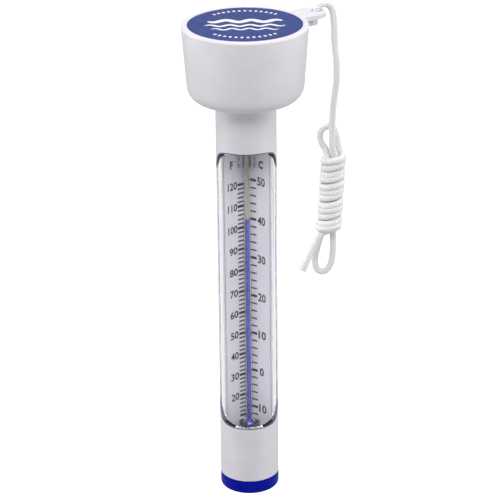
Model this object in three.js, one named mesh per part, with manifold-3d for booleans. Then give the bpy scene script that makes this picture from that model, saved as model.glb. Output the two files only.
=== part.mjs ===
// Floating pool thermometer with a tether cord.
// Units are millimetres, +Z is up and the origin is the centre of the flat bottom face.
// The thermometer stands upright on its blue end plug, with the window towards -Y.
import * as THREE from "three";
import { mergeVertices } from "three/addons/utils/BufferGeometryUtils.js";
import Module from "manifold-3d";

const wasm = await Module();
wasm.setup();

// ---------------------------------------------------------------- driving dimensions
const GAP = 0.3; // clearance between neighbouring pieces
const ROUND_STEPS = 64; // facets round the large turned parts
const SMALL_STEPS = 24; // facets round the small ones

const tube = { outer: 12, inner: 10, flange: 14.6, flangeThick: 1.6 };
const levels = {
  plugJoint: 5.7, // top of the blue rim
  windowLow: 30,
  windowHigh: 149.5,
  headLow: 168.5,
  headHigh: 198.6,
};
const head = {
  topRadius: 24.75,
  lowRadius: 23,
  corner: 6, // rounding of the lower edge
  topRound: 0.9,
  floor: 2, // thickness of the cup's bottom
  bore: 21.2, // inside radius of the float chamber
  seatRadius: 22.4, // recess that takes the lid
  seatDepth: 2.9,
};
const windowSplitY = -2; // the lens meets the casing on this plane
const windowCorner = 9.5; // rounding of the window's corners, seen from the side
const lug = { angle: 31.5, centre: 30.2, radius: 6, thick: 1.6, rootInset: 0.6, holeAt: 32.6, hole: 2 };
const card = { crease: 9.2, fold: 0.52, curve: 0.0315, halfWidth: 9.1, thick: 0.5, low: 19, high: 153 };
const notch = { halfWidth: 4.6, high: 25.4 }; // room for the bulb in the card's lower edge
const stem = { y: 5.5, outer: 1.5, bore: 1, low: 28.4, high: 147 };
const bulb = { radius: 3.1, wall: 0.5, round: 2, low: 12, high: 25.1, neckRadius: 2, neckHigh: 26.4 };
const degree = { zero: 47.6, size: 1.68, least: -10, shown: 40 }; // scale, 0 degC height and mm per degC
const cord = { radius: 1.4, sides: 8 };

// ---------------------------------------------------------------- colours
const WHITE_PLASTIC = { color: 0xd9d7e0, roughness: 0.42 };
const BLUE_PLASTIC = { color: 0x0a1c96, roughness: 0.35 };
const LABEL_BLUE = { color: 0x3a4ea0, roughness: 0.5 };
const CARD_WHITE = { color: 0xc9c8d6, roughness: 0.6 };
const CLEAR = { color: 0xf2f4f7, roughness: 0.06, transparent: true, opacity: 0.25 };
const GLASS = { color: 0xe4e2cf, roughness: 0.05, transparent: true, opacity: 0.4 };
const BLUE_LIQUID = { color: 0x1d1f9c, roughness: 0.2 };
const RUBBER = { color: 0x17171b, roughness: 0.7 };
const SOFT_GREY = { color: 0x9a97a6, roughness: 0.8 };
const STEEL = { color: 0x8d9095, roughness: 0.35, metalness: 1 };
const CORD_WHITE = { color: 0xe9e9ec, roughness: 0.85 };

// ---------------------------------------------------------------- geometry helpers
const thermometer = new THREE.Group();

function solid(geometry) {
  const bare = geometry.clone();
  bare.deleteAttribute("normal");
  bare.deleteAttribute("uv");
  const merged = mergeVertices(bare, 1e-4);
  return new wasm.Manifold(
    new wasm.Mesh({
      numProp: 3,
      vertProperties: merged.attributes.position.array,
      triVerts: new Uint32Array(merged.index.array),
    }),
  );
}

function geometryOf(made) {
  const { vertProperties, triVerts } = made.getMesh();
  const geometry = new THREE.BufferGeometry();
  geometry.setAttribute("position", new THREE.BufferAttribute(vertProperties, 3));
  geometry.setIndex(new THREE.BufferAttribute(triVerts, 1));
  geometry.computeVertexNormals();
  return geometry;
}

// Adds one named piece. Its shape is a geometry, or a solid joined and cut from several.
function add(name, shape, look) {
  const geometry = shape.isBufferGeometry ? shape : geometryOf(shape);
  const mesh = new THREE.Mesh(geometry, new THREE.MeshStandardMaterial(look));
  mesh.name = name;
  thermometer.add(mesh);
  return mesh;
}

// Points of an arc in a half section: centre (r, z), from one angle to another in degrees.
function arc(r, z, radius, from, to, steps = 5) {
  return Array.from({ length: steps + 1 }, (_, i) => {
    const angle = THREE.MathUtils.degToRad(from + ((to - from) * i) / steps);
    return [r + radius * Math.cos(angle), z + radius * Math.sin(angle)];
  });
}

// Turns a half section of [radius, height] points about the Z axis.
// The section runs upwards along its outer side, and closes on itself unless it ends on the axis.
function turned(section, steps = ROUND_STEPS, y = 0) {
  const onAxis = section[0][0] === 0 && section.at(-1)[0] === 0;
  const closed = onAxis ? section : [...section, section[0]];
  const points = closed.map(([r, z]) => new THREE.Vector2(r, z));
  return new THREE.LatheGeometry(points, steps).rotateX(Math.PI / 2).translate(0, y, 0);
}

function ring(inner, outer, low, high, steps = ROUND_STEPS, y = 0) {
  return turned([[inner, low], [outer, low], [outer, high], [inner, high]], steps, y);
}

function disc(radius, low, high, steps = ROUND_STEPS, y = 0) {
  return turned([[0, low], [radius, low], [radius, high], [0, high]], steps, y);
}

const outlineOf = (points) => new THREE.Shape(points.map(([x, y]) => new THREE.Vector2(x, y)));

// An upright prism over an outline in the XY plane.
function prism(shape, low, high) {
  const settings = { depth: high - low, bevelEnabled: false, curveSegments: 16 };
  return new THREE.ExtrudeGeometry(shape, settings).translate(0, 0, low);
}

// A round cord along a path, with flat ends.
function cordAlong(points, steps) {
  const section = new THREE.Shape();
  for (let i = 0; i < cord.sides; i++) {
    const angle = (2 * Math.PI * i) / cord.sides;
    const [x, y] = [cord.radius * Math.cos(angle), cord.radius * Math.sin(angle)];
    if (i) section.lineTo(x, y);
    else section.moveTo(x, y);
  }
  section.closePath();
  const path = new THREE.CatmullRomCurve3(points.map((p) => new THREE.Vector3(...p)), false, "centripetal");
  return new THREE.ExtrudeGeometry(section, { steps, extrudePath: path, curveSegments: 1 });
}

// ---------------------------------------------------------------- float head
// The side view of the cup's outer wall: flat bottom, rounded corner, drafted side, rounded rim.
function cupSection() {
  const { topRadius, lowRadius, corner, topRound, floor, bore, seatRadius, seatDepth } = head;
  const low = levels.headLow;
  const high = levels.headHigh;
  const innerCorner = corner - floor;
  return [
    [tube.outer + GAP, low],
    ...arc(lowRadius - corner, low + corner, corner, -90, 0, 6),
    ...arc(topRadius - topRound, high - topRound, topRound, 0, 90, 4),
    [seatRadius, high],
    [seatRadius, high - seatDepth],
    [bore, high - seatDepth],
    ...arc(bore - innerCorner, low + floor + innerCorner, innerCorner, 0, -90, 4),
    [tube.outer + GAP, low + floor],
  ];
}

// The tether lug is a flat tab with a round end, flush with the rim of the cup.
function lugPlate() {
  const { centre, radius, thick } = lug;
  const root = head.seatRadius + lug.rootInset;
  const shape = new THREE.Shape();
  shape.moveTo(root, -radius);
  shape.lineTo(centre, -radius);
  shape.absarc(centre, 0, radius, -Math.PI / 2, Math.PI / 2, false);
  shape.lineTo(root, radius);
  shape.closePath();
  return prism(shape, levels.headHigh - thick, levels.headHigh);
}

const lugTurn = THREE.MathUtils.degToRad(lug.angle);

function floatCup() {
  const hole = disc(lug.hole, levels.headHigh - 9, levels.headHigh + 1, SMALL_STEPS);
  hole.translate(lug.holeAt, 0, 0);
  // The plate's straight inner edge stays inside the wall at its middle and is trimmed at its corners.
  const recess = disc(head.seatRadius, levels.headHigh - 9, levels.headHigh + 1);
  const plate = solid(lugPlate()).subtract(solid(hole)).rotate([0, 0, lug.angle]);
  return solid(turned(cupSection())).add(plate.subtract(solid(recess)));
}

const seatFloor = levels.headHigh - head.seatDepth;
const labelThick = 0.35;
const labelTop = levels.headHigh - 0.1;
const lidTop = labelTop - labelThick - GAP;
const sealThick = 0.6;

add("float_cup", floatCup(), WHITE_PLASTIC);
const lidSealLow = seatFloor + GAP;
const lidLow = lidSealLow + sealThick + GAP;
const lidRadius = head.seatRadius - GAP;
add("lid_seal", ring(head.bore + 0.1, lidRadius, lidSealLow, lidSealLow + sealThick), RUBBER);
add("float_lid", disc(lidRadius, lidLow, lidTop), WHITE_PLASTIC);
add("float_label", disc(head.seatRadius - GAP / 2, lidTop + GAP, labelTop), LABEL_BLUE);

// ---------------------------------------------------------------- casing and window
// The window is cut from the front back to the split plane. Its outline is seen from the side,
// and inset shrinks it all round, so that the same outline makes the lens.
function windowCutter(inset) {
  const back = windowSplitY - inset;
  const low = levels.windowLow + inset;
  const high = levels.windowHigh - inset;
  const front = -tube.outer - 3;
  const corner = windowCorner - inset;
  const side = new THREE.Shape();
  side.moveTo(front, low);
  side.lineTo(back - corner, low);
  side.absarc(back - corner, low + corner, corner, -Math.PI / 2, 0, false);
  side.absarc(back - corner, high - corner, corner, 0, Math.PI / 2, false);
  side.lineTo(front, high);
  side.closePath();
  const width = 2 * tube.outer + 4;
  const cutter = new THREE.ExtrudeGeometry(side, { depth: width, bevelEnabled: false, curveSegments: 8 });
  // The outline's X becomes the object's Y, its Y becomes Z, and the depth runs along X.
  return solid(cutter.rotateX(Math.PI / 2).rotateZ(Math.PI / 2).translate(-width / 2, 0, 0));
}

const flangeLow = levels.headLow + head.floor + 2 * GAP + sealThick;

function casing() {
  const flangeHigh = flangeLow + tube.flangeThick;
  const body = turned([
    [tube.inner, levels.plugJoint + GAP],
    [tube.outer, levels.plugJoint + GAP],
    [tube.outer, flangeLow],
    [tube.flange, flangeLow],
    [tube.flange, flangeHigh],
    [tube.inner, flangeHigh],
  ]);
  return solid(body).subtract(windowCutter(0));
}

function lens() {
  const shell = ring(tube.inner, tube.outer, levels.windowLow - 3, levels.windowHigh + 3);
  return solid(shell).intersect(windowCutter(GAP));
}

add("casing_tube", casing(), WHITE_PLASTIC);
add("window_lens", lens(), CLEAR);
const sealLow = levels.headLow + head.floor + GAP;
add("neck_seal", ring(tube.outer + GAP, tube.flange, sealLow, sealLow + sealThick), RUBBER);

// ---------------------------------------------------------------- scale card
// The printed card is a springy sheet, folded down its middle into a trough that opens to the
// front. Each wing falls away from the fold at a slope that grows towards its edge.
function cardSection() {
  const { crease, fold, curve, halfWidth, thick } = card;
  const stepCount = 20;
  const front = [];
  const back = [];
  for (let i = 0; i <= stepCount; i++) {
    const x = -halfWidth + (2 * halfWidth * i) / stepCount;
    const y = crease - fold * Math.abs(x) - curve * x * x;
    const slope = -fold * Math.sign(x) - 2 * curve * x;
    const reach = thick / Math.hypot(slope, 1);
    front.push([x, y]);
    back.push([x - slope * reach, y + reach]);
  }
  return [...front, ...back.reverse()];
}

function scaleCard() {
  const opening = new THREE.BoxGeometry(2 * notch.halfWidth, 2 * tube.inner, 2 * notch.high);
  return solid(prism(outlineOf(cardSection()), card.low, card.high)).subtract(solid(opening));
}

add("scale_card", scaleCard(), CARD_WHITE);

// ---------------------------------------------------------------- glass thermometer
const levelOf = (degrees) => degree.zero + degree.size * degrees;
const bulbInside = bulb.radius - bulb.wall;
const neckInside = bulb.neckRadius - bulb.wall;

// Stem and bulb in one piece of glass. The bulb narrows to a neck, and the bore is open at the top.
function glass() {
  const { radius, wall, round, low, high, neckRadius, neckHigh } = bulb;
  return turned(
    [
      [0, low],
      ...arc(radius - round, low + round, round, -90, 0),
      [radius, high],
      [neckRadius, neckHigh],
      [stem.outer, stem.low],
      [stem.outer, stem.high],
      [stem.bore, stem.high],
      [stem.bore, stem.low],
      [neckInside, neckHigh],
      [bulbInside, high],
      ...arc(bulbInside - round, low + wall + round, round, 0, -90),
      [0, low + wall],
    ],
    SMALL_STEPS,
    stem.y,
  );
}

const columnRadius = stem.bore - GAP;
const meniscusThick = 1;
const columnTop = levelOf(degree.shown);
const stubTop = levelOf(degree.least) - meniscusThick - 2 * GAP;
const LIQUID_STEPS = 16; // facets round the liquid

// The liquid in the bulb, with the short neck of it that never leaves the bottom of the bore.
function reservoir() {
  const low = bulb.low + bulb.wall + GAP;
  const radius = bulbInside - GAP;
  const round = bulb.round - GAP;
  return turned(
    [
      [0, low],
      ...arc(radius - round, low + round, round, -90, 0),
      [radius, bulb.high - GAP],
      [neckInside - GAP, bulb.neckHigh - GAP],
      [columnRadius, stem.low - GAP],
      [columnRadius, stubTop],
      [0, stubTop],
    ],
    LIQUID_STEPS,
    stem.y,
  );
}

add("thermometer_glass", glass(), GLASS);
add("bulb_liquid", reservoir(), BLUE_LIQUID);
const meniscusLow = columnTop - meniscusThick;
add("liquid_column", disc(columnRadius, stubTop + GAP, meniscusLow - GAP, LIQUID_STEPS, stem.y), BLUE_LIQUID);
add("liquid_meniscus", disc(columnRadius, meniscusLow, columnTop, LIQUID_STEPS, stem.y), BLUE_LIQUID);

// ---------------------------------------------------------------- holders inside the casing
const clip = {
  halfWidth: 2.9,
  ribHalfWidth: 3.5,
  low: 137.9,
  high: 146.9,
  ribs: 4,
  ribThick: 0.9,
  reachFront: 0.6, // how far the jaws reach in front of the stem's axis
  reachBack: 2.25,
  shoulder: 1,
};

// The comb clip grips the top of the stem from behind. Its ribs stand out to both sides.
function clipOutline(halfWidth) {
  const inside = stem.outer + GAP;
  const front = stem.y - clip.reachFront;
  const back = stem.y + clip.reachBack;
  const shoulder = stem.y + clip.shoulder;
  return [
    [halfWidth, front],
    [halfWidth, shoulder],
    [inside, back],
    [-inside, back],
    [-halfWidth, shoulder],
    [-halfWidth, front],
    [-inside, front],
    [-inside, stem.y + inside],
    [inside, stem.y + inside],
    [inside, front],
  ];
}

function stemClip() {
  const { low, high, ribs, ribThick } = clip;
  const pitch = (high - low - ribThick) / (ribs - 1);
  let made = solid(prism(outlineOf(clipOutline(clip.halfWidth)), low, high));
  for (let i = 0; i < ribs; i++) {
    const at = low + i * pitch;
    made = made.add(solid(prism(outlineOf(clipOutline(clip.ribHalfWidth)), at, at + ribThick)));
  }
  return made;
}

add("stem_clip", stemClip(), SOFT_GREY);
const topPad = { radius: 2.2, low: stem.high + GAP, thick: 3 };
const topPadHigh = topPad.low + topPad.thick;
add("stem_top_pad", disc(topPad.radius, topPad.low, topPadHigh, SMALL_STEPS, stem.y), SOFT_GREY);

// The grey sleeve round the bulb, and the black rubber ring above it.
function sleeve(outer, low, high) {
  return ring(bulb.radius + GAP, outer, low, high, SMALL_STEPS, stem.y);
}

add("bulb_grommet", sleeve(4.1, 14.5, 23.6), SOFT_GREY);
add("neck_ring", sleeve(4, 23.9, 25), RUBBER);

// ---------------------------------------------------------------- end plug and ballast
const plug = {
  round: 1.2, // rounding of the lower edge
  spigot: 9.65,
  bore: 8,
  floor: 1.8,
  high: 10.6,
  groove: 8.7,
  ringLow: 7.3,
  ringHigh: 9,
  ringRadius: 0.45,
};

// The blue plug: an outer rim flush with the casing and a hollow spigot with an O-ring groove.
function endPlug() {
  return turned([
    [0, 0],
    ...arc(tube.outer - plug.round, plug.round, plug.round, -90, 0, 4),
    [tube.outer, levels.plugJoint],
    [plug.spigot, levels.plugJoint],
    [plug.spigot, plug.ringLow],
    [plug.groove, plug.ringLow],
    [plug.groove, plug.ringHigh],
    [plug.spigot, plug.ringHigh],
    [plug.spigot, plug.high],
    [plug.bore, plug.high],
    [plug.bore, plug.floor],
    [0, plug.floor],
  ]);
}

// The O-ring lies in the spigot's groove, clear of the casing's bore.
function plugRing() {
  const middle = (plug.ringLow + plug.ringHigh) / 2;
  const centre = plug.groove + plug.ringRadius + 0.05;
  const sides = 8;
  return turned(arc(centre, middle, plug.ringRadius, -90, 270, sides).slice(0, sides));
}

add("end_plug", endPlug(), BLUE_PLASTIC);
add("plug_oring", plugRing(), RUBBER);
const ballast = { radius: plug.bore - GAP, low: plug.floor + GAP, high: 9.2 };
add("ballast_weight", disc(ballast.radius, ballast.low, ballast.high), STEEL);
add("bulb_pad", disc(bulb.radius, ballast.high + GAP, bulb.low - GAP, SMALL_STEPS, stem.y - 1), SOFT_GREY);

// ---------------------------------------------------------------- tether
// A point at a radius and height in the upright plane of the lug.
const inLugPlane = (r, z) => [r * Math.cos(lugTurn), r * Math.sin(lugTurn), z];
const strandY = 21.2; // the cord hangs at this depth

// The stopper knot under the lug.
const knot = { radius: 2.4, height: 3.9 };
const lugUnder = levels.headHigh - lug.thick;
function stopperKnot() {
  const ball = new THREE.SphereGeometry(1, 12, 8).rotateX(Math.PI / 2);
  ball.scale(knot.radius, knot.radius, knot.height / 2);
  return ball.translate(...inLugPlane(lug.holeAt, lugUnder - GAP - knot.height / 2));
}

// The single strand: up through the hole, over the end of the lug and down.
const strandRoute = [
  inLugPlane(32.6, lugUnder + 0.1),
  inLugPlane(32.8, 198.5),
  inLugPlane(33.6, 200),
  inLugPlane(35.2, 200.8),
  inLugPlane(37.3, 200.6),
  inLugPlane(39.2, 199.3),
  inLugPlane(40.4, 197),
  [35, strandY, 192.5],
  [35.2, strandY, 187],
  [35.6, strandY, 181.5],
  [36.1, strandY, 176.5],
  [36.3, strandY, 172],
  [36.1, strandY, 167.5],
  [35.5, strandY, 162.5],
  [34.9, strandY, 157.5],
  [34.6, strandY, 152],
  [34.5, strandY, 146],
  [34.5, strandY, 140.5],
];

// The hank: the cord doubled up and wrapped round itself, with a loop left out at each end.
const hank = { high: 136.9, low: 102.5, width: 10.6, depth: 9.6, round: 2.6, x: 34.3, y: 22.6, lean: -2.4 };

function hankSolid() {
  const round = hank.round;
  const w = hank.width / 2;
  const h = (hank.high - hank.low) / 2;
  const side = new THREE.Shape();
  side.absarc(w - round, h - round, round, 0, Math.PI / 2, false);
  side.absarc(-w + round, h - round, round, Math.PI / 2, Math.PI, false);
  side.absarc(-w + round, -h + round, round, Math.PI, 1.5 * Math.PI, false);
  side.absarc(w - round, -h + round, round, 1.5 * Math.PI, 2 * Math.PI, false);
  side.closePath();
  const block = new THREE.ExtrudeGeometry(side, { depth: hank.depth, bevelEnabled: false, curveSegments: 4 });
  return block.translate(0, 0, -hank.depth / 2).rotateX(Math.PI / 2);
}

const loopY = 24.2; // both loops lie behind the strand
const topLoop = [
  [31.7, loopY, 138.6],
  [30.2, loopY, 141.5],
  [29.7, loopY, 144.5],
  [30.7, loopY, 146.9],
  [33.4, loopY + 0.3, 148.3],
  [35.1, loopY, 147.2],
  [36.3, loopY, 144],
  [37, loopY, 141],
  [37.5, loopY, 138.6],
];
const bottomLoop = [
  [35.2, loopY, 100.8],
  [35.2, loopY, 96],
  [35, loopY, 91.3],
  [34.3, loopY, 88],
  [32.8, loopY, 85.4],
  [30.9, loopY, 84.4],
  [28.9, loopY, 85.3],
  [27.9, loopY, 87.8],
  [27.9, loopY, 91],
  [28.7, loopY, 95],
  [30.2, loopY, 100.8],
];
const tailY = 20.6; // the free end lies in front of the lower loop
const tail = [
  [28.9, tailY, 100.8],
  [27, tailY, 97],
  [24.9, tailY, 92.2],
  [22.5, tailY, 86.8],
];

add("tether_knot", stopperKnot(), CORD_WHITE);
add("tether_strand", cordAlong(strandRoute, 40), CORD_WHITE);
add("tether_top_loop", cordAlong(topLoop, 14), CORD_WHITE);
add("tether_bottom_loop", cordAlong(bottomLoop, 16), CORD_WHITE);
add("tether_tail", cordAlong(tail, 4), CORD_WHITE);
const bundle = add("tether_hank", hankSolid(), CORD_WHITE);
bundle.position.set(hank.x, hank.y, (hank.high + hank.low) / 2);
bundle.rotation.y = THREE.MathUtils.degToRad(-hank.lean);

export default thermometer;
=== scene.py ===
"""Looks of a floating pool thermometer with a tether cord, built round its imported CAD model.

Blender 4.5. Everything is in the CAD's own frame: +Z is up, the window faces -Y and the
origin is the middle of the flat bottom. Lengths in this file are millimetres until they
reach a mesh, where MM turns them into metres.
"""

import math

import bmesh
import bpy
import numpy as np
from mathutils import Matrix, Vector


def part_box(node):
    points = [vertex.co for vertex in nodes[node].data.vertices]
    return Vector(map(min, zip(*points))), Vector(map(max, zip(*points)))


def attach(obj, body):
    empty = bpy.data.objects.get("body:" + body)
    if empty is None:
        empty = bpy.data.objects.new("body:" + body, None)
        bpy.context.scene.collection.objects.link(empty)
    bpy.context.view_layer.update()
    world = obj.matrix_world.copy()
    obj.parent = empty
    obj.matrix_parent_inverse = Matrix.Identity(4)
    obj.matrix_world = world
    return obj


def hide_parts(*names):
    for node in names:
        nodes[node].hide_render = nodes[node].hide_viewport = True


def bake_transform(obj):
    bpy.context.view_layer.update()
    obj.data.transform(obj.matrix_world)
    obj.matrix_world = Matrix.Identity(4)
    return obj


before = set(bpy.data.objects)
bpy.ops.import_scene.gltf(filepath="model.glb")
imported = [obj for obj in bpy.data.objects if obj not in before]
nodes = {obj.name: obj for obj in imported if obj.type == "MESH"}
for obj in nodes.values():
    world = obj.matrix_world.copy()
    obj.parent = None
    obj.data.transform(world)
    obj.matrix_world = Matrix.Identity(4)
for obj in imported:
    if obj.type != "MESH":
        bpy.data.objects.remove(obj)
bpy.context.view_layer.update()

# ------------------------------------------------------------------ driving values
MM = 0.001

LABEL_TOP = 198.5  # height of the label's face in the top of the float head
LUG_ANGLE = math.radians(31.5)  # from +X towards +Y
LUG_HOLE = 32.6  # from the axis to the middle of the lug's hole
LUG_UNDER = 197.0  # height of the lug's underside

TUBE_INNER, TUBE_OUTER = 10, 12  # radii of the casing and of its clear front
WINDOW_LOW, WINDOW_HIGH = 30, 149.5
WINDOW_SPLIT_Y, WINDOW_CORNER = -2, 9.5  # depth of the window's sides, radius of its corners
WINDOW_GAP = 0.3  # between the casing and the clear front

CARD_CREASE, CARD_FOLD, CARD_CURVE = 9.2, 0.52, 0.0315  # of the card's front, see card_front
CARD_HALF_WIDTH = 9.1
ZERO_C, MM_PER_C = 47.9, 1.68  # height of 0 degrees C, and of each degree
SHOWN_C = 40.2  # the reading at rest

STEM_Y = 5.5  # depth of the stem's axis
STEM_FOOT, STEM_TOP = 28.4, 147.0
COLUMN_FOOT = 24.5  # in the neck of the bulb
COLUMN_RADIUS = 0.985

CORD_RADIUS = 1.4
STRAND_Y = 21.2  # depth of the hanging strand
LOOP_Y = 24.2  # depth of both loops of the hank
TAIL_Y = 20.6  # depth of the free end


# ------------------------------------------------------------------ camera
def make_camera():
    """Stands in front of the window, a little above it, with a long lens."""
    distance, down, aside, aim_height = 891, math.radians(22.83), 1.04, 104.5
    lens = bpy.data.cameras.new("camera")
    lens.lens = 160.3
    lens.sensor_width = 36
    lens.clip_start, lens.clip_end = 0.05, 20
    camera = bpy.data.objects.new("camera", lens)
    bpy.context.scene.collection.objects.link(camera)
    place = Vector((aside, -distance * math.cos(down), aim_height + distance * math.sin(down)))
    tilt = Matrix.Rotation(math.pi / 2 - down, 4, "X")
    roll = Matrix.Rotation(math.radians(-0.6), 4, "Z")
    camera.matrix_world = Matrix.Translation(place * MM) @ tilt @ roll
    bpy.context.scene.camera = camera


make_camera()


# ------------------------------------------------------------------ mesh helpers
def new_piece(name, points, faces, smooth=True):
    """A mesh object from points in millimetres."""
    mesh = bpy.data.meshes.new(name)
    mesh.from_pydata([Vector(p) * MM for p in points], [], faces)
    mesh.polygons.foreach_set("use_smooth", [smooth] * len(mesh.polygons))
    mesh.update()
    made = bpy.data.objects.new(name, mesh)
    bpy.context.scene.collection.objects.link(made)
    return made


def joined(name, parts, smooth=False):
    """One piece out of several lists of points and faces."""
    points, faces = [], []
    for some_points, some_faces in parts:
        base = len(points)
        points += some_points
        faces += [tuple(base + i for i in face) for face in some_faces]
    return new_piece(name, points, faces, smooth)


def finish_piece(made, look):
    """Gives a piece on the housing its material."""
    made.data.materials.append(look)
    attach(made, "housing")


def turned(name, section, centre, steps):
    """Turns a section of (radius, height) points, which starts and ends on the axis."""
    points, faces = [], []
    inner = section[1:-1]
    for radius, height in inner:
        for i in range(steps):
            angle = 2 * math.pi * i / steps
            x = centre[0] + radius * math.cos(angle)
            y = centre[1] + radius * math.sin(angle)
            points.append((x, y, height))
    low = len(points)
    points.append((*centre, section[0][1]))
    points.append((*centre, section[-1][1]))
    for i in range(steps):
        j = (i + 1) % steps
        faces.append((low, j, i))
        for row in range(len(inner) - 1):
            a, b = row * steps, (row + 1) * steps
            faces.append((a + i, a + j, b + j, b + i))
        top = (len(inner) - 1) * steps
        faces.append((top + i, top + j, low + 1))
    return new_piece(name, points, faces)


# ------------------------------------------------------------------ tether: its line
def through(points, step):
    """A smooth line through the points (centripetal Catmull-Rom), with points step apart."""
    p = np.array(points, float)
    p = np.vstack([2 * p[0] - p[1], p, 2 * p[-1] - p[-2]])
    line = []
    for i in range(1, len(p) - 2):
        knots = [0.0]
        for a, b in zip(p[i - 1 : i + 2], p[i : i + 3]):
            knots.append(knots[-1] + math.sqrt(np.linalg.norm(b - a)))
        t0, t1, t2, t3 = knots
        for t in np.linspace(t1, t2, 12, endpoint=False):
            a1 = ((t1 - t) * p[i - 1] + (t - t0) * p[i]) / (t1 - t0)
            a2 = ((t2 - t) * p[i] + (t - t1) * p[i + 1]) / (t2 - t1)
            a3 = ((t3 - t) * p[i + 1] + (t - t2) * p[i + 2]) / (t3 - t2)
            b1 = ((t2 - t) * a1 + (t - t0) * a2) / (t2 - t0)
            b2 = ((t3 - t) * a2 + (t - t1) * a3) / (t3 - t1)
            line.append(((t2 - t) * b1 + (t - t1) * b2) / (t2 - t1))
    line.append(p[-2])
    return evenly(np.array(line), step)


def evenly(line, step):
    """The same line with its points step apart."""
    along = np.concatenate([[0], np.cumsum(np.linalg.norm(np.diff(line, axis=0), axis=1))])
    at = np.linspace(0, along[-1], round(along[-1] / step) + 1)
    return np.stack([np.interp(at, along, line[:, k]) for k in range(3)], axis=1)


def in_lug_plane(radius, height):
    """A point in the upright plane through the lug, at a distance from the axis."""
    return (radius * math.cos(LUG_ANGLE), radius * math.sin(LUG_ANGLE), height)


HANK_TOP, HANK_FOOT = 135.6, 103.9  # first and last wrap
HANK_TURNS = 12
HANK_AXIS_TOP, HANK_AXIS_FOOT = (35.1, 22.6), (33.5, 22.6)
HANK_START = math.radians(20)  # where round the hank the first wrap begins
WRAP_X, WRAP_Y = 3.9, 3.4  # the wraps' own line lies on this oval


def hank_axis(height):
    """Where the middle of the leaning hank is at a height."""
    share = (HANK_TOP - height) / (HANK_TOP - HANK_FOOT)
    return [a + share * (b - a) for a, b in zip(HANK_AXIS_TOP, HANK_AXIS_FOOT)]


def wraps():
    """The turns that hold the hank together, from the top down.

    They are uneven: their pitch wanders, they slope, their size swells and shrinks a little,
    and the last turns bulge to the left, where the free end comes out.
    """
    line = []
    steps = 16
    for i in range(HANK_TURNS * steps + 1):
        turn = i / steps
        angle = HANK_START - 2 * math.pi * turn
        wander = 0.4 * math.sin(2.3 * turn)
        slope = 0.45 * math.cos(angle - 0.6)
        height = HANK_TOP + (HANK_FOOT - HANK_TOP) * turn / HANK_TURNS
        height += wander + slope
        to_last = (turn - 11.3) / 1.1
        bulge = 0.2 * math.exp(-(to_last**2)) * max(0.0, -math.cos(angle))
        swell = 1 + 0.045 * math.sin(1.7 * turn + 0.8) + bulge
        x, y = hank_axis(height)
        line.append((x + swell * WRAP_X * math.cos(angle), y + swell * WRAP_Y * math.sin(angle), height))
    return line


def tether_route():
    """The whole cord from the knot to its cut end."""
    over_the_lug = [
        in_lug_plane(LUG_HOLE, LUG_UNDER + 0.1),
        in_lug_plane(32.8, 198.5),
        in_lug_plane(33.6, 200),
        in_lug_plane(35.2, 200.8),
        in_lug_plane(37.3, 200.6),
        in_lug_plane(39.2, 199.3),
        in_lug_plane(40.4, 197),
    ]
    strand = [
        (35, 192.5),
        (35.2, 187),
        (35.6, 181.5),
        (36.1, 176.5),
        (36.3, 172),
        (36.1, 167.5),
        (35.5, 162.5),
        (34.9, 157.5),
        (34.6, 152),
        (34.5, 146),
        (34.5, 140.5),
    ]
    core_down = [(35.9, 22.4, 134), (35.6, 22.6, 124), (35.2, 22.8, 114), (35.1, 23.4, 106)]
    bottom_loop = [
        (35.2, 100.8),
        (35.2, 96),
        (35, 91.3),
        (34.3, 88),
        (32.8, 85.4),
        (30.9, 84.4),
        (28.9, 85.3),
        (27.9, 87.8),
        (27.9, 91),
        (28.7, 95),
        (30.2, 100.8),
    ]
    core_up = [(32.2, 23.2, 106), (32.7, 22.8, 114), (33.1, 22.6, 124), (33.2, 23, 133.5)]
    top_loop = [
        (31.7, 138.6),
        (30.2, 141.5),
        (29.7, 144.5),
        (30.7, 146.9),
        (33.4, 148.3),
        (35.1, 147.2),
        (36.3, 144),
        (37, 141),
        (37.5, 138.6),
    ]
    tail = [(29.6, 102.2), (28.4, 99.6), (26.6, 96.2), (24.9, 92.2), (22.5, 86.8)]
    return [
        *over_the_lug,
        *[(x, STRAND_Y, z) for x, z in strand],
        *core_down,
        *[(x, LOOP_Y, z) for x, z in bottom_loop],
        *core_up,
        *[(x, LOOP_Y, z) for x, z in top_loop],
        *wraps(),
        *[(x, TAIL_Y, z) for x, z in tail],
    ]


# ------------------------------------------------------------------ tether: its braid
STITCH = 1.05  # length of one stitch along the cord
RELIEF = 0.25  # height of the stitches
FLAT_SHARE = 0.55  # of that height, taken off so that the cord keeps its radius
FLARE_LENGTH = 4  # length over which a cut end spreads
CORD_STEP = 0.21  # from one ring of the tube to the next
CORD_SIDES = 20


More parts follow.
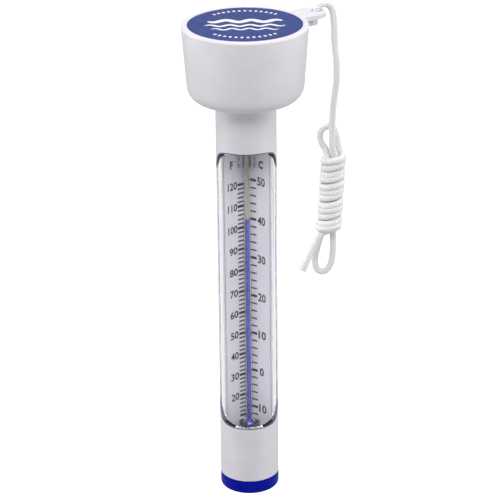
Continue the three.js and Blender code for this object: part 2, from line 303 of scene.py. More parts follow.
def braided_tube(name, line, radius, closed=False, flare=0.0):
    """A braided tube along a line. Two sets of yarns cross and make a herringbone relief.

    With a flare, the tube's last stretch spreads by that share, as a cut end does.
    """
    count = len(line)
    if closed:
        tangents = np.roll(line, -1, axis=0) - np.roll(line, 1, axis=0)
    else:
        tangents = np.gradient(line, axis=0)
    tangents /= np.linalg.norm(tangents, axis=1)[:, None]
    normal = np.cross(tangents[0], (0.3, 0.9, 0.2))
    points, faces, crests = [], [], []
    along = 0.0
    for i in range(count):
        normal = normal - tangents[i] * (normal @ tangents[i])
        normal /= np.linalg.norm(normal)
        side = np.cross(tangents[i], normal)
        if i:
            along += np.linalg.norm(line[i] - line[i - 1])
        wave = math.pi * along / STITCH
        from_end = (count - 1 - i) * CORD_STEP
        spread = 1 + flare * math.exp(-from_end / FLARE_LENGTH)
        for k in range(CORD_SIDES):
            angle = 2 * math.pi * k / CORD_SIDES
            stitch = math.sin(2 * angle + wave) * math.sin(2 * angle - wave)
            crest = abs(stitch) ** 0.7
            reach = radius * spread + RELIEF * (crest - FLAT_SHARE)
            offset = normal * math.cos(angle) + side * math.sin(angle)
            points.append(line[i] + reach * offset)
            crests.append(crest)
    rows = count if closed else count - 1
    for i in range(rows):
        a, b = i * CORD_SIDES, ((i + 1) % count) * CORD_SIDES
        for k in range(CORD_SIDES):
            m = (k + 1) % CORD_SIDES
            faces.append((a + k, a + m, b + m, b + k))
    if not closed:
        faces.append(tuple(range(CORD_SIDES - 1, -1, -1)))
        last = (count - 1) * CORD_SIDES
        faces.append(tuple(last + k for k in range(CORD_SIDES)))
    made = new_piece(name, points, faces)
    # The crest of each point also sets the cord's painted shade in its grooves, in cord_polyester.
    made.data.attributes.new("crest", "FLOAT", "POINT").data.foreach_set("value", crests)
    return made


def knot_line():
    """A pulled-tight overhand knot, a trefoil centred under the hole of the lug."""
    x, y, z = in_lug_plane(30.8, LUG_UNDER - 2.3)
    wide, high, steps = 1.5, 0.95, 120
    line = []
    for i in range(steps):
        t = 2 * math.pi * i / steps
        across = (math.sin(t) + 2 * math.sin(2 * t)) / 3
        deep = (math.cos(t) - 2 * math.cos(2 * t)) / 3
        line.append((x + wide * across, y + wide * deep, z - high * math.sin(3 * t)))
    return np.array(line)


# ------------------------------------------------------------------ material helpers
class Look:
    """A procedural material, built from noise that is fixed to the object."""

    def __init__(self, name, **settings):
        self.material = bpy.data.materials.new(name)
        self.material.use_nodes = True
        self.tree = self.material.node_tree
        self.shader = self.tree.nodes["Principled BSDF"]
        self.place = self.tree.nodes.new("ShaderNodeTexCoord").outputs["Object"]
        for socket, value in settings.items():
            self.shader.inputs[socket.replace("_", " ")].default_value = value

    def node(self, kind):
        """A new shader node of a kind, such as Math."""
        return self.tree.nodes.new("ShaderNode" + kind)

    def link(self, source, target):
        self.tree.links.new(source, target)

    def stretched(self, x, y, z):
        """Object coordinates in millimetres, each axis scaled."""
        mapping = self.node("Mapping")
        mapping.inputs["Scale"].default_value = (x / MM, y / MM, z / MM)
        self.link(self.place, mapping.inputs["Vector"])
        return mapping.outputs["Vector"]

    def noise(self, size, detail=3.0, stretch=(1, 1, 1)):
        """Noise whose features are about size millimetres across."""
        made = self.node("TexNoise")
        made.inputs["Scale"].default_value = 1 / size
        made.inputs["Detail"].default_value = detail
        self.link(self.stretched(*stretch), made.inputs["Vector"])
        return made.outputs["Fac"]

    def cells(self, size):
        """Distance to the nearest of many scattered cells."""
        made = self.node("TexVoronoi")
        made.inputs["Scale"].default_value = 1 / size
        self.link(self.stretched(1, 1, 1), made.inputs["Vector"])
        return made.outputs["Distance"]

    def colours(self, source, *stops):
        """A colour ramp over two stops of (position, (r, g, b)), into the base colour."""
        ramp = self.node("ValToRGB")
        for element, (position, colour) in zip(ramp.color_ramp.elements, stops):
            element.position = position
            element.color = (*colour, 1)
        self.link(source, ramp.inputs["Fac"])
        self.link(ramp.outputs["Color"], self.shader.inputs["Base Color"])

    def roughness(self, source, low, high):
        """Roughness from low to high as the source goes over its middle range."""
        ranged = self.node("MapRange")
        ranged.inputs["From Min"].default_value = 0.3
        ranged.inputs["From Max"].default_value = 0.7
        ranged.inputs["To Min"].default_value = low
        ranged.inputs["To Max"].default_value = high
        self.link(source, ranged.inputs["Value"])
        self.link(ranged.outputs["Result"], self.shader.inputs["Roughness"])

    def bump(self, source, height):
        """Bump of a height in millimetres."""
        made = self.node("Bump")
        made.inputs["Strength"].default_value = 1.0
        made.inputs["Distance"].default_value = height * MM
        self.link(source, made.inputs["Height"])
        self.link(made.outputs["Normal"], self.shader.inputs["Normal"])

    def show(self, shader):
        """Makes a shader the material's surface."""
        self.link(shader, self.tree.nodes["Material Output"].inputs["Surface"])

    def let_lamps_through(self, tint):
        """Light from the lamps passes straight through, so that what is inside is lit."""
        clear = self.node("BsdfTransparent")
        clear.inputs["Color"].default_value = (*tint, 1)
        path = self.node("LightPath")
        mix = self.node("MixShader")
        self.link(path.outputs["Is Shadow Ray"], mix.inputs["Fac"])
        self.link(self.shader.outputs["BSDF"], mix.inputs[1])
        self.link(clear.outputs["BSDF"], mix.inputs[2])
        self.show(mix.outputs["Shader"])


# ------------------------------------------------------------------ materials
def shell_plastic():
    """Matt white moulded plastic with a cool cast, slightly cloudy and finely grained."""
    look = Look("shell_plastic", Specular_IOR_Level=0.45)
    cloud = look.noise(9, detail=4)
    look.colours(cloud, (0.3, (0.75, 0.735, 0.775)), (0.7, (0.795, 0.78, 0.81)))
    look.roughness(look.noise(2.5, detail=5), 0.36, 0.5)
    look.bump(look.noise(0.35, detail=2), 0.012)
    return look.material


def plug_plastic():
    """Deep blue plastic with fine turning marks and faint scuffs."""
    look = Look("plug_plastic", Specular_IOR_Level=0.08)
    scuffs = look.noise(3, detail=6, stretch=(1, 1, 0.5))
    look.colours(scuffs, (0.3, (0.0004, 0.004, 0.32)), (0.7, (0.001, 0.008, 0.4)))
    look.roughness(scuffs, 0.28, 0.4)
    look.bump(look.noise(0.3, stretch=(0.1, 0.1, 1)), 0.01)
    return look.material


def label_print():
    """Blue print on a thin vinyl disc, with the slight grain of the ink."""
    look = Look("label_print", Specular_IOR_Level=0.06)
    ink = look.noise(0.5, detail=6)
    look.colours(ink, (0.3, (0.03, 0.052, 0.2)), (0.75, (0.04, 0.064, 0.24)))
    look.roughness(look.noise(4), 0.38, 0.5)
    look.bump(look.noise(1.6), 0.02)
    return look.material


def white_ink():
    """The label's white print, a little uneven in its cover."""
    look = Look("white_ink", Roughness=0.5)
    look.colours(look.noise(0.4, detail=5), (0.3, (0.82, 0.83, 0.86)), (0.7, (0.9, 0.9, 0.92)))
    look.bump(look.noise(0.3), 0.008)
    return look.material


def black_ink():
    """The card's matt black print."""
    look = Look("black_ink", Specular_IOR_Level=0.05)
    grain = look.noise(0.25, detail=5)
    look.colours(grain, (0.3, (0.002, 0.002, 0.004)), (0.75, (0.008, 0.008, 0.014)))
    look.roughness(grain, 0.5, 0.7)
    return look.material


def card_plastic():
    """The printed card: matt white plastic sheet with a fine drawn grain along it."""
    look = Look("card_plastic", Specular_IOR_Level=0.35)
    grain = look.noise(0.8, detail=5, stretch=(1, 1, 0.12))
    look.colours(grain, (0.3, (0.66, 0.65, 0.705)), (0.7, (0.71, 0.70, 0.745)))
    look.roughness(grain, 0.5, 0.66)
    look.bump(grain, 0.01)
    return look.material


def lens_acrylic():
    """Clear acrylic with hairline scratches."""
    look = Look("lens_acrylic", Transmission_Weight=1.0, IOR=1.49, Specular_IOR_Level=0.06)
    haze = look.noise(5, detail=5, stretch=(1, 1, 0.4))
    look.colours(haze, (0.3, (0.955, 0.96, 0.98)), (0.7, (0.975, 0.98, 0.99)))
    look.roughness(haze, 0.0, 0.012)
    look.bump(look.noise(0.5, detail=2, stretch=(1, 1, 0.06)), 0.0004)
    look.let_lamps_through((0.94, 0.945, 0.96))
    return look.material


def stem_glass():
    """Drawn glass tube, faintly yellow along its streaks."""
    look = Look("stem_glass", Transmission_Weight=1.0, IOR=1.47, Specular_IOR_Level=0.05)
    streaks = look.noise(0.7, detail=3, stretch=(1, 1, 0.05))
    look.colours(streaks, (0.3, (0.95, 0.95, 0.91)), (0.7, (0.98, 0.98, 0.95)))
    look.roughness(streaks, 0.0, 0.04)
    look.let_lamps_through((0.96, 0.96, 0.93))
    return look.material


def stem_enamel():
    """The yellowish enamel stripe along the back of the stem."""
    look = Look("stem_enamel", Specular_IOR_Level=0.4)
    streaks = look.noise(0.5, detail=4, stretch=(1, 1, 0.08))
    look.colours(streaks, (0.3, (0.50, 0.49, 0.43)), (0.7, (0.6, 0.59, 0.52)))
    look.roughness(streaks, 0.35, 0.55)
    return look.material


def bond_line():
    """Painted shade and refraction of the window's edges: a dark violet line on the bead round its ends.
    """
    look = Look("bond_line", Specular_IOR_Level=0.5)
    clots = look.noise(0.6, detail=4)
    # Painted shade and refraction: the dark violet of the window's edges.
    look.colours(clots, (0.3, (0.06, 0.058, 0.14)), (0.7, (0.12, 0.11, 0.2)))
    look.roughness(clots, 0.3, 0.5)
    look.bump(clots, 0.02)
    return look.material


def blue_spirit():
    """Dyed spirit: nearly opaque blue, with painted shade on its left side and lighter on its right."""
    look = Look("blue_spirit", Specular_IOR_Level=0.02, Roughness=0.3)
    across = look.node("SeparateXYZ")
    look.link(look.place, across.inputs["Vector"])
    ranged = look.node("MapRange")
    half_width = 0.95 * MM
    ranged.inputs["From Min"].default_value = -half_width
    ranged.inputs["From Max"].default_value = half_width
    look.link(across.outputs["X"], ranged.inputs["Value"])
    # Painted shade: the column's left side dark and its right side lighter, across object X.
    dark, light = (0.0005, 0.0005, 0.26), (0.012, 0.022, 0.55)
    look.colours(ranged.outputs["Result"], (0.42, dark), (0.52, light))
    look.bump(look.noise(0.6), 0.01)
    return look.material


def holder_plastic():
    """Grey-lilac moulded plastic of the stem's clip and the bulb's sleeve."""
    look = Look("holder_plastic", Specular_IOR_Level=0.4)
    cloud = look.noise(1.5, detail=4)
    look.colours(cloud, (0.3, (0.26, 0.25, 0.31)), (0.7, (0.34, 0.33, 0.39)))
    look.roughness(cloud, 0.4, 0.6)
    look.bump(look.noise(0.3), 0.02)
    return look.material


def open_foam():
    """Grey foam with visible cells."""
    look = Look("open_foam", Sheen_Weight=0.3)
    cells = look.cells(0.45)
    look.colours(cells, (0.1, (0.3, 0.29, 0.33)), (0.6, (0.5, 0.49, 0.53)))
    look.roughness(cells, 0.85, 1.0)
    look.bump(cells, 0.12)
    return look.material


def seal_rubber():
    """Black rubber with a little dust on it."""
    look = Look("seal_rubber", Specular_IOR_Level=0.3)
    dust = look.noise(0.8, detail=6)
    look.colours(dust, (0.35, (0.012, 0.012, 0.014)), (0.8, (0.045, 0.045, 0.05)))
    look.roughness(dust, 0.55, 0.8)
    look.bump(dust, 0.03)
    return look.material


def turned_steel():
    """Plated steel with the rings that turning leaves."""
    look = Look("turned_steel", Metallic=1.0)
    rings = look.noise(0.5, detail=4, stretch=(0.08, 0.08, 1))
    look.colours(rings, (0.3, (0.42, 0.43, 0.45)), (0.7, (0.55, 0.56, 0.58)))
    look.roughness(rings, 0.25, 0.45)
    look.bump(rings, 0.01)
    return look.material


def cord_polyester():
    """White braided polyester with fine fibres, with painted shade in the grooves between the yarns: grey
    there, white on their crests.
    """
    look = Look("cord_polyester", Specular_IOR_Level=0.3, Sheen_Weight=0.25)
    crest = look.node("Attribute")
    crest.attribute_name = "crest"
    fibres = look.noise(0.22, detail=4)
    mixed = look.node("Math")
    mixed.operation = "MULTIPLY_ADD"
    mixed.inputs[1].default_value = 0.25
    look.link(fibres, mixed.inputs[0])
    look.link(crest.outputs["Fac"], mixed.inputs[2])
    # Painted shade: grey in the grooves between the yarns, white on their crests.
    grey, white = (0.62, 0.62, 0.61), (0.98, 0.98, 0.96)
    look.colours(mixed.outputs["Value"], (0.2, grey), (0.6, white))
    look.roughness(fibres, 0.7, 0.95)
    look.bump(fibres, 0.05)
    return look.material


CORD = cord_polyester()
BLACK_INK = black_ink()
WHITE_INK = white_ink()
SPIRIT = blue_spirit()
FOAM = open_foam()

SLOT_LOOKS = {
    "white_shell": shell_plastic(),
    "blue_plug": plug_plastic(),
    "label": label_print(),
    "scale_print": card_plastic(),
    "clear_lens": lens_acrylic(),
    "tube_glass": stem_glass(),
    "blue_liquid": SPIRIT,
    "holder": holder_plastic(),
    "foam": FOAM,
    "black_rubber": seal_rubber(),
    "ballast": turned_steel(),
    "cord": CORD,
}


# ------------------------------------------------------------------ CAD nodes
SAME_POINT = 0.002  # points closer than this are one
SHARP_EDGE = math.radians(30)


def slot_of(node):
    """The record's material slot of a CAD node."""
    return nodes[node].data.materials[0].name.split(".")[0]


def dress(node):
    """Gives a CAD node its material, and shades its facets as the smooth surfaces they stand for."""
    made = nodes[node]
    made.data.materials[0] = SLOT_LOOKS[slot_of(node)]
    if "custom_normal" in made.data.attributes:
        made.data.attributes.remove(made.data.attributes["custom_normal"])
    made.data.shade_smooth()
    weld = made.modifiers.new("weld", "WELD")
    weld.merge_threshold = SAME_POINT * MM
    split = made.modifiers.new("sharp_edges", "EDGE_SPLIT")
    split.split_angle = SHARP_EDGE


for node in nodes:
    dress(node)


# ------------------------------------------------------------------ tether pieces
def make_tether():
    """The braided cord and its stopper knot, in place of the CAD's cord pieces, which are hidden."""
    line = through(tether_route(), CORD_STEP)
    tether = braided_tube("tether", line, CORD_RADIUS, flare=0.3)
    finish_piece(tether, CORD)
    cad_nodes = ("tether_strand", "tether_top_loop", "tether_hank", "tether_bottom_loop", "tether_tail")
    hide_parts(*cad_nodes)
    knot = braided_tube("stopper_knot", knot_line(), 1.0, closed=True)
    finish_piece(knot, CORD)
    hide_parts("tether_knot")


make_tether()


# ------------------------------------------------------------------ liquid column
def make_column():
    """The blue line. Its foot stays in the bulb and its top stands at the reading at rest."""
    radius, foot, top = COLUMN_RADIUS, COLUMN_FOOT, ZERO_C + MM_PER_C * SHOWN_C
    rows = 120
    hollow = [(0.8, 0.18), (0.4, 0.34), (0, 0.4)]  # the meniscus: share of radius, depth
    section = [(0, foot)]
    section += [(radius, foot + (top - foot) * i / rows) for i in range(rows + 1)]
    section += [(radius * share, top - depth) for share, depth in hollow]
    column = turned("spirit_column", section, centre=(0, STEM_Y), steps=48)
    column.data.materials.append(SPIRIT)
    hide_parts("liquid_column", "liquid_meniscus")
    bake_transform(column)


make_column()


# ------------------------------------------------------------------ stem backing
def make_backing():
    """A curved enamel stripe inside the glass, behind the bore."""
    radius, low, high = 1.25, STEM_FOOT + 0.4, STEM_TOP - 0.3
    start, sweep = 15, 150  # degrees, from the right round the back to the left
    steps, rows = 16, 40
    points, faces = [], []
    for row in range(rows + 1):
        height = low + (high - low) * row / rows
        for i in range(steps + 1):
            angle = math.radians(start + sweep * i / steps)
            points.append((radius * math.cos(angle), STEM_Y + radius * math.sin(angle), height))
    for row in range(rows):
        for i in range(steps):
            a, b = row * (steps + 1) + i, (row + 1) * (steps + 1) + i
            faces.append((a, a + 1, b + 1, b))
    backing = new_piece("stem_backing", points, faces)
    finish_piece(backing, stem_enamel())


make_backing()


# ------------------------------------------------------------------ print on the card
def card_front(x):
    """Depth of the card's front at x: a trough with a fold in the middle."""
    return CARD_CREASE - CARD_FOLD * abs(x) - CARD_CURVE * x * x


CARD_X = np.linspace(-CARD_HALF_WIDTH, CARD_HALF_WIDTH, 183)
CARD_S = np.concatenate([[0], np.cumsum(np.hypot(np.diff(CARD_X), np.diff(card_front(CARD_X))))])
CARD_S = CARD_S - CARD_S[-1] / 2  # distances along the card from its crease, for each CARD_X
PRINT_LIFT = 0.08  # the ink stands this far proud of the card
THIN_TICK, THICK_TICK = 0.62, 1.1
TICKS_C, TICKS_F = (1.1, 3.9), (-3.9, -1.4)  # from where to where across the card
DIGITS_C, DIGITS_F = 3.7, 3.3  # heights
LETTERS, LETTERS_AT = 3.5, 139.2  # height of the letters F and C, and where they are


def on_card(along, height):
    """A point of the print on the folded card, at a distance along the card from its crease."""
    x = float(np.interp(along, CARD_S, CARD_X))
    slope = -math.copysign(CARD_FOLD, x) - 2 * CARD_CURVE * x
    size = math.hypot(slope, 1)
    return (x + PRINT_LIFT * slope / size, card_front(x) - PRINT_LIFT / size, height)


def along_card(x):
    """The distance along the card of a place at x."""
    return float(np.interp(x, CARD_X, CARD_S))


def bar(x_from, x_to, height, thick):
    """Points and faces of one printed bar across the card."""
    steps = 8
    start, stop = along_card(x_from), along_card(x_to)
    points, faces = [], []
    for i in range(steps + 1):
        along = start + (stop - start) * i / steps
        points.append(on_card(along, height - thick / 2))
        points.append(on_card(along, height + thick / 2))
    for i in range(steps):
        faces.append((2 * i, 2 * i + 2, 2 * i + 3, 2 * i + 1))
    return points, faces


def celsius_height(degrees):
    """Where up the card a number of degrees C is."""
    return ZERO_C + MM_PER_C * degrees


def fahrenheit_height(degrees):
    """Where up the card a number of degrees F is."""
    return celsius_height((degrees - 32) / 1.8)


def tick(ends, degrees, height):
    """The bar at a number of degrees, thicker at each ten."""
    return bar(*ends, height, THIN_TICK if degrees % 10 else THICK_TICK)


def make_ticks():
    """A bar every two degrees on both scales."""
    bars = [tick(TICKS_C, degrees, celsius_height(degrees)) for degrees in range(-12, 51, 2)]
    bars += [tick(TICKS_F, degrees, fahrenheit_height(degrees)) for degrees in range(10, 121, 2)]
    ticks = joined("scale_ticks", bars)
    finish_piece(ticks, BLACK_INK)


def text_shape(text, height, weight):
    """Flat outline-filled text as a mesh and its width, its lower left corner at the origin."""
    curve = bpy.data.curves.new("text", "FONT")
    curve.body = text
    curve.size = 1
    curve.resolution_u = 3
    curve.offset = weight
    made = bpy.data.objects.new("text", curve)
    bpy.context.scene.collection.objects.link(made)
    bpy.context.view_layer.update()
    mesh = bpy.data.meshes.new_from_object(made)
    bpy.data.objects.remove(made)
    bpy.data.curves.remove(curve)
    low = [min(v.co[k] for v in mesh.vertices) for k in (0, 1)]
    high = [max(v.co[k] for v in mesh.vertices) for k in (0, 1)]
    scale = height / (high[1] - low[1])
    for v in mesh.vertices:
        v.co = ((v.co.x - low[0]) * scale, (v.co.y - low[1]) * scale, 0)
    return mesh, (high[0] - low[0]) * scale


def slice_up(mesh, width):
    """Cuts a flat mesh into upright slices, so that it can bend."""
    step = 0.4
    cut = bmesh.new()
    cut.from_mesh(mesh)
    for i in range(1, math.ceil(width / step)):
        everything = cut.verts[:] + cut.edges[:] + cut.faces[:]
        bmesh.ops.bisect_plane(cut, geom=everything, plane_co=(i * step, 0, 0), plane_no=(1, 0, 0))
    cut.to_mesh(mesh)
    cut.free()


def card_text(text, x_from, x_to, middle, height, weight=0.025):
    """Text printed on the card between two places across it."""
    mesh, width = text_shape(text, height, weight)
    slice_up(mesh, width)
    start, stop = along_card(x_from), along_card(x_to)
    points = []
    for v in mesh.vertices:
        along = start + (stop - start) * v.co.x / width
        points.append(on_card(along, middle - height / 2 + v.co.y))
    faces = [tuple(p.vertices) for p in mesh.polygons]
    bpy.data.meshes.remove(mesh)
    return points, faces


def make_numbers():
    """The numbers at each ten degrees, and the letters over the scales."""
    parts = []
    for degrees in range(-10, 51, 10):
        ends = (4.4, 7.5) if degrees else (4.8, 6.5)
        parts.append(card_text(str(abs(degrees)), *ends, celsius_height(degrees), DIGITS_C))
    for degrees in range(20, 121, 10):
        ends = (-7.9, -4.1) if degrees >= 100 else (-7.5, -4.2)
        parts.append(card_text(str(degrees), *ends, fahrenheit_height(degrees), DIGITS_F))
    parts.append(card_text("F", -6.85, -5.7, LETTERS_AT, LETTERS, weight=0.055))
    parts.append(card_text("C", 4.95, 6.75, LETTERS_AT, LETTERS, weight=0.055))
    numbers = joined("scale_numbers", parts)
    finish_piece(numbers, BLACK_INK)


make_ticks()
make_numbers()


# ------------------------------------------------------------------ bead of painted shade round the window's ends
BEAD_TURN = 52  # degrees round the corner where the bead is widest
BEAD_SPREAD = 20  # degrees over which it narrows again
BEAD_START, BEAD_RUN = 4, 100  # degrees round the corner where it starts, and how far it goes on
BEAD_FADE = 16  # degrees over which it grows from nothing
BEAD_LIFT = 0.09  # how far its crest stands proud of the casing


def bead_edges(turn, middle, widest):
    """How far the cement reaches inwards and outwards, at an angle round the window's corner."""
    swell = math.exp(-(((turn - BEAD_TURN) / BEAD_SPREAD) ** 2))
    fade = min(1.0, max(0.0, (turn - BEAD_START) / BEAD_FADE))
    return -WINDOW_GAP * math.sqrt(fade), fade * (middle + (widest - middle) * swell)


def on_window_edge(turn, out, radius, side):
    """A point by the window's edge, from its corner (0 to 90 degrees) on towards its middle.

    It gives x, y and how far above or below the middle of the corner the point is. The point
    is out beyond the edge, at a radius round the casing, on one side: 1 right, -1 left.
    """
    angle = math.radians(min(turn, 90))
    past_corner = 0.045 * max(0.0, turn - 90)
    y = WINDOW_SPLIT_Y - WINDOW_CORNER + (WINDOW_CORNER + out) * math.cos(angle) - past_corner
    return side * math.sqrt(max(0.0, radius**2 - y * y)), y, (WINDOW_CORNER + out) * math.sin(angle)


def bond_end(middle_height, up, middle, widest):
    """The bead round one end of the window; up is 1 at the top and -1 at the foot.

    Its section fills the gap between lens and casing and ends in a low bead on the outside,
    which lies on the casing's edge and is middle wide in front and widest at the corners.
    """
    rows, across = 48, 6
    points, faces = [], []
    for side in (-1, 1):
        base = len(points)
        for i in range(rows + 1):
            turn = BEAD_START + BEAD_RUN * i / rows
            inwards, outwards = bead_edges(turn, middle, widest)
            section = [(inwards, TUBE_INNER)]
            for k in range(across + 1):
                share = k / across
                lift = 0.02 + BEAD_LIFT * math.sin(math.pi * share)
                section.append((inwards + (outwards - inwards) * share, TUBE_OUTER + lift))
            for out, radius in section:
                x, y, rise = on_window_edge(turn, out, radius, side)
                points.append((x, y, middle_height + up * rise))
        row = across + 2
        for i in range(rows):
            for k in range(row - 1):
                a, b = base + i * row + k, base + (i + 1) * row + k
                faces.append((a, a + 1, b + 1, b))
    return points, faces


def make_bond():
    """The bead at both ends, which closes the gap between lens and casing and is coloured with painted
    shade and refraction: a thin line at the top, and a bolder one at the foot.
    """
    ends = [
        bond_end(WINDOW_HIGH - WINDOW_CORNER, 1, 0.06, 0.4),
        bond_end(WINDOW_LOW + WINDOW_CORNER, -1, 0.1, 0.9),
    ]
    bond = joined("window_edge_bead", ends)
    finish_piece(bond, bond_line())


make_bond()


# ------------------------------------------------------------------ window lens
def lens_inset(y):
    """How much shorter the lens is at each end, at a depth y, where its corners are rounded."""
    corner = WINDOW_CORNER - WINDOW_GAP
    ahead = max(0.0, y - WINDOW_SPLIT_Y + WINDOW_CORNER)
    return corner - math.sqrt(max(0.0, corner**2 - ahead**2))


def lens_ends(radius, steps):
    """The lower and the upper end of the lens at one radius, from its left side to its right."""
    reach = math.acos((WINDOW_GAP - WINDOW_SPLIT_Y) / radius)
    lower, upper = [], []
    for i in range(steps + 1):
        angle = reach * math.sin(math.pi * (i / steps - 0.5))
        x, y = radius * math.sin(angle), -radius * math.cos(angle)
        lower.append((x, y, WINDOW_LOW + WINDOW_GAP + lens_inset(y)))
        upper.append((x, y, WINDOW_HIGH - WINDOW_GAP - lens_inset(y)))
    return lower, upper


def strip(first, second):
    """A band of faces between two lines of points. It faces the viewer who sees them
    run to the right with the first line below the second."""
    points = [*first, *second]
    count = len(first)
    return points, [(i, i + 1, count + i + 1, count + i) for i in range(count - 1)]


def make_lens():
    """The clear front as a truly round shell, because facets would break up what it shows."""
    steps = 200
    outer_low, outer_high = lens_ends(TUBE_OUTER, steps)
    inner_low, inner_high = lens_ends(TUBE_INNER, steps)
    parts = [
        strip(outer_low, outer_high),
        strip(inner_high, inner_low),
        strip(inner_low, outer_low),
        strip(outer_high, inner_high),
        strip([outer_low[-1], inner_low[-1]], [outer_high[-1], inner_high[-1]]),
        strip([inner_low[0], outer_low[0]], [inner_high[0], outer_high[0]]),
    ]
    lens = joined("clear_front", parts, smooth=True)
    finish_piece(lens, SLOT_LOOKS["clear_lens"])
    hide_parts("window_lens")


make_lens()


# ------------------------------------------------------------------ motif on the label
def ribbon(centre_line, widths, height):
    """A flat ribbon along a line in the label's plane."""
    points, faces = [], []
    count = len(centre_line)
    for i, (u, v) in enumerate(centre_line):
        before = centre_line[max(i - 1, 0)]
        after = centre_line[min(i + 1, count - 1)]
        du, dv = after[0] - before[0], after[1] - before[1]
        size = math.hypot(du, dv)
        half = widths[i] / 2
        points.append((u - dv / size * half, v + du / size * half, height))
        points.append((u + dv / size * half, v - du / size * half, height))
    for i in range(count - 1):
        faces.append((2 * i, 2 * i + 1, 2 * i + 3, 2 * i + 2))
    return points, faces


def wave(middle, half_length, amplitude, thick, periods, height):
    """A wavy stroke that thins out towards its ends."""
    steps = 96
    line, widths = [], []
    for i in range(steps + 1):
        t = -1 + 2 * i / steps
        line.append((half_length * t, middle + amplitude * math.sin(math.pi * periods * t)))
        widths.append(thick * math.sqrt(max(0.02, 1 - t**6)))
    return ribbon(line, widths, height)


def drops(radius, from_degrees, to_degrees, count, height):
    """A row of small drops on an arc, their tips pointing outwards."""
    drop_radius, tip, steps = 0.62, 0.55, 20
    parts = []
    for i in range(count):
        angle = math.radians(from_degrees + (to_degrees - from_degrees) * i / (count - 1))
        u, v = radius * math.cos(angle), radius * math.sin(angle)
        points = []
        for k in range(steps):
            turn = 2 * math.pi * k / steps
            reach = drop_radius + tip * max(0.0, math.cos(turn)) ** 6
            points.append((u + reach * math.cos(angle + turn), v + reach * math.sin(angle + turn), height))
        parts.append((points, [tuple(range(steps))]))
    return parts


def make_motif():
    """Three waves between two rows of drops, in white on the label."""
    height = LABEL_TOP + 0.05
    parts = [
        wave(4.2, 14.5, 1.3, 3.0, 3, height),
        wave(-1.6, 15.5, 1.0, 1.7, 4, height),
        wave(-6.2, 13.0, 0.9, 1.3, 4, height),
        *drops(17.6, 48, 132, 13, height),
        *drops(16.8, 228, 312, 12, height),
    ]
    motif = joined("label_motif", parts)
    finish_piece(motif, WHITE_INK)


make_motif()


# ------------------------------------------------------------------ foam pads
def make_pad(node):
    """A crowned puck of foam in the place of its plain CAD disc."""
    low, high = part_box(node)
    radius = (high.x - low.x) / 2 / MM
    middle = ((low.x + high.x) / 2 / MM, (low.y + high.y) / 2 / MM)
    foot, top = low.z / MM, high.z / MM
    bulge = 0.12 * radius
    rows = 12
    section = [(0, foot)]
    for i in range(rows + 1):
        share = i / rows
        round_off = 1 - abs(2 * share - 1) ** 5
        section.append((radius - bulge + bulge * round_off, foot + (top - foot) * share))
    section.append((0, top))
    pad = turned(node + "_foam", section, centre=middle, steps=32)
    finish_piece(pad, FOAM)
    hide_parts(node)


for node in ("stem_top_pad", "bulb_pad"):
    make_pad(node)


# ------------------------------------------------------------------ floor and light
def add_glow(look, strength, through_glass):
    """Makes a look shine, so that it shows white, without casting any light of its own.

    The glow has one strength for the camera and one for what is seen through clear parts.
    """
    path = look.node("LightPath")
    bent = look.node("Math")
    bent.operation = "MULTIPLY"
    bent.inputs[1].default_value = through_glass
    seen = look.node("Math")
    seen.operation = "MULTIPLY_ADD"
    seen.inputs[1].default_value = strength
    glow = look.node("Emission")
    both = look.node("AddShader")
    look.link(path.outputs["Is Transmission Ray"], bent.inputs[0])
    look.link(path.outputs["Is Camera Ray"], seen.inputs[0])
    look.link(bent.outputs["Value"], seen.inputs[2])
    look.link(seen.outputs["Value"], glow.inputs["Strength"])
    look.link(look.shader.outputs["BSDF"], both.inputs[0])
    look.link(glow.outputs["Emission"], both.inputs[1])
    look.show(both.outputs["Shader"])


def make_floor():
    """A wide plain floor, pale grey under the lamps and white to the camera."""
    look = Look("pale_floor", Specular_IOR_Level=0.1, Roughness=0.9)
    look.colours(look.noise(60), (0.3, (0.5, 0.5, 0.505)), (0.7, (0.52, 0.52, 0.525)))
    add_glow(look, strength=0.92, through_glass=0.45)
    half = 6000
    corners = [(-half, -half, 0), (half, -half, 0), (half, half, 0), (-half, half, 0)]
    floor = new_piece("floor", corners, [(0, 1, 2, 3)], smooth=False)
    floor.data.materials.append(look.material)


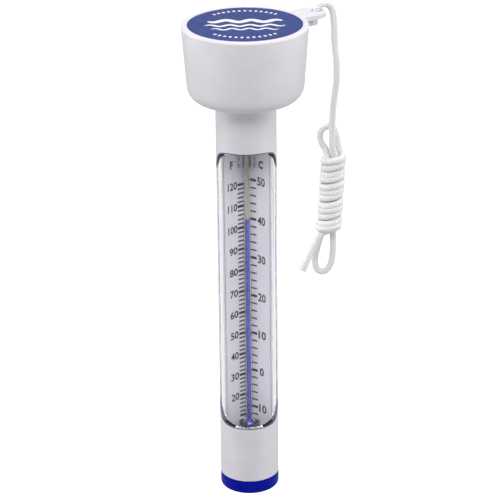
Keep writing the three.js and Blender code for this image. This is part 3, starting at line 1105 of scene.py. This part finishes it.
def softbox(name, place, aim, size, power, colour=(1, 1, 1)):
    """A rectangular soft light at a place, turned towards a point. Both are in metres."""
    lamp = bpy.data.lights.new(name, "AREA")
    lamp.shape = "RECTANGLE"
    lamp.size, lamp.size_y = size
    lamp.energy = power
    lamp.color = colour
    made = bpy.data.objects.new(name, lamp)
    bpy.context.scene.collection.objects.link(made)
    made.location = place
    made.rotation_euler = (Vector(aim) - Vector(place)).to_track_quat("-Z", "Y").to_euler()


def make_world(matt, gloss, seen):
    """A pale room, with one strength for matt surfaces, one for gloss and glass, and one that is seen."""
    world = bpy.data.worlds.new("studio")
    bpy.context.scene.world = world
    world.use_nodes = True
    tree = world.node_tree
    path = tree.nodes.new("ShaderNodeLightPath")

    def room(strength, colour=(1, 1, 1)):
        background = tree.nodes.new("ShaderNodeBackground")
        background.inputs["Color"].default_value = (*colour, 1)
        background.inputs["Strength"].default_value = strength
        return background.outputs["Background"]

    def pick(ray, otherwise, chosen):
        mix = tree.nodes.new("ShaderNodeMixShader")
        tree.links.new(path.outputs[ray], mix.inputs["Fac"])
        tree.links.new(otherwise, mix.inputs[1])
        tree.links.new(chosen, mix.inputs[2])
        return mix.outputs["Shader"]

    unseen = pick("Is Diffuse Ray", room(gloss), room(matt, (0.98, 0.95, 1)))
    shown = pick("Is Camera Ray", unseen, room(seen))
    tree.links.new(shown, tree.nodes["World Output"].inputs["Surface"])


def make_lamps():
    """A soft light from above, one from the front and one from each side."""
    cool, neutral = (0.98, 0.95, 1.0), (0.98, 1.0, 0.97)
    softbox("top_light", (0, 0.15, 1.3), (0, 0, 0.1), (1.0, 1.0), 7.5)
    softbox("key_light", (0, -0.8, 1.0), (0, 0, 0.06), (0.9, 0.5), 8, cool)
    softbox("left_light", (-1.1, 0.1, 0.3), (0, 0, 0.08), (0.9, 0.9), 7.4, neutral)
    softbox("right_light", (1.1, 0.1, 0.3), (0, 0, 0.08), (0.9, 0.9), 7, neutral)


make_floor()
make_world(matt=0.17, gloss=0.85, seen=1.0)
make_lamps()
bpy.context.scene.view_settings.view_transform = "Standard"
